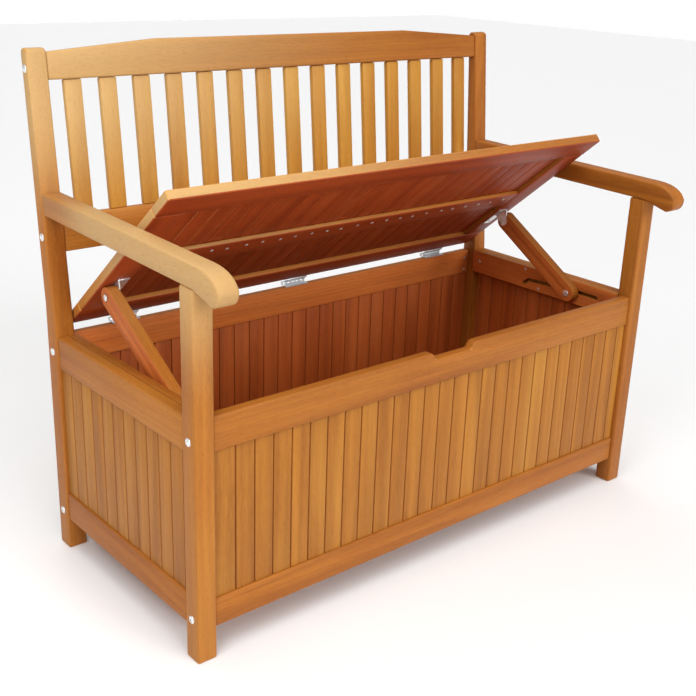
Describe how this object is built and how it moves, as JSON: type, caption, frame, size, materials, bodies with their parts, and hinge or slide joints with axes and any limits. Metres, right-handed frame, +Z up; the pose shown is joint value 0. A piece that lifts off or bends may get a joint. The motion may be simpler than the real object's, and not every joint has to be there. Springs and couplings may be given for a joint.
{
  "type": "storage bench",
  "caption": "Wooden garden bench with a slatted back and armrests, whose hinged seat lid opens over a boarded storage box and stands on two wooden prop arms.",
  "frame": {"origin": "on the ground, at the centre of the overall box", "axes": "+X to the right along the bench, +Y to the rear, +Z up; a sitter faces -Y"},
  "size_m": [1.1, 0.5856, 0.9278],
  "materials": {
    "frame_wood": "oiled hardwood, satin, rounded edges",
    "board_wood": "oiled hardwood boards, satin",
    "slat_wood": "oiled hardwood slats, satin",
    "lid_wood": "oiled hardwood, satin",
    "inside_wood": "oiled hardwood, matt, inside the box",
    "zinc": "zinc plated, slightly dull",
    "bright_steel": "bright plated steel"
  },
  "bodies": {
    "frame": {"left_front_leg": "frame_wood", "left_rear_leg": "frame_wood", "left_armrest": "frame_wood", "right_front_leg": "frame_wood", "right_rear_leg": "frame_wood", "right_armrest": "frame_wood", "front_top_rail": "frame_wood", "front_bottom_rail": "frame_wood", "front_boards": "board_wood", "rear_top_rail": "frame_wood", "rear_bottom_rail": "frame_wood", "rear_boards": "board_wood", "left_side_top_rail": "frame_wood", "left_side_bottom_rail": "frame_wood", "left_side_boards": "board_wood", "left_guide_board": "frame_wood", "right_side_top_rail": "frame_wood", "right_side_bottom_rail": "frame_wood", "right_side_boards": "board_wood", "right_guide_board": "frame_wood", "floor_boards": "inside_wood", "floor_batten": "inside_wood", "crest_rail": "frame_wood", "lower_back_rail": "frame_wood", "back_slat_01": "slat_wood", "back_slat_02": "slat_wood", "back_slat_03": "slat_wood", "back_slat_04": "slat_wood", "back_slat_05": "slat_wood", "back_slat_06": "slat_wood", "back_slat_07": "slat_wood", "back_slat_08": "slat_wood", "back_slat_09": "slat_wood", "back_slat_10": "slat_wood", "back_slat_11": "slat_wood", "back_slat_12": "slat_wood", "back_slat_13": "slat_wood", "back_slat_14": "slat_wood", "back_slat_15": "slat_wood", "left_hinge_frame_leaf": "zinc", "left_hinge_pin": "zinc", "middle_hinge_frame_leaf": "zinc", "middle_hinge_pin": "zinc", "right_hinge_frame_leaf": "zinc", "right_hinge_pin": "zinc"},
    "seat_lid": {"lid_front_rail": "lid_wood", "lid_rear_rail": "lid_wood", "lid_left_rail": "lid_wood", "lid_right_rail": "lid_wood", "lid_boards": "lid_wood", "lid_batten": "lid_wood", "left_prop_bracket": "bright_steel", "right_prop_bracket": "bright_steel", "left_hinge_lid_leaf": "zinc", "middle_hinge_lid_leaf": "zinc", "right_hinge_lid_leaf": "zinc"},
    "left_prop_arm": {"left_prop": "frame_wood", "left_guide_pin": "bright_steel"},
    "right_prop_arm": {"right_prop": "frame_wood", "right_guide_pin": "bright_steel"}
  },
  "joints": [
    {"name": "lid_hinge", "type": "hinge", "parent": "frame", "child": "seat_lid", "pos_m": [0, 0.26018, 0.4279], "axis": [-1, 0, 0], "range_deg": [-40, 30]},
    {"name": "left_prop_swing", "type": "hinge", "parent": "seat_lid", "child": "left_prop_arm", "pos_m": [0, 0.11711, 0.5221], "axis": [1, 0, 0], "range_deg": [-71, 54]},
    {"name": "right_prop_swing", "type": "hinge", "parent": "seat_lid", "child": "right_prop_arm", "pos_m": [0, 0.11711, 0.5221], "axis": [1, 0, 0], "range_deg": [-71, 54]}
  ],
  "couplings": [
    {"joint": "left_prop_swing", "follows": "lid_hinge", "ratio": 1.7584},
    {"joint": "right_prop_swing", "follows": "lid_hinge", "ratio": 1.7584}
  ]
}
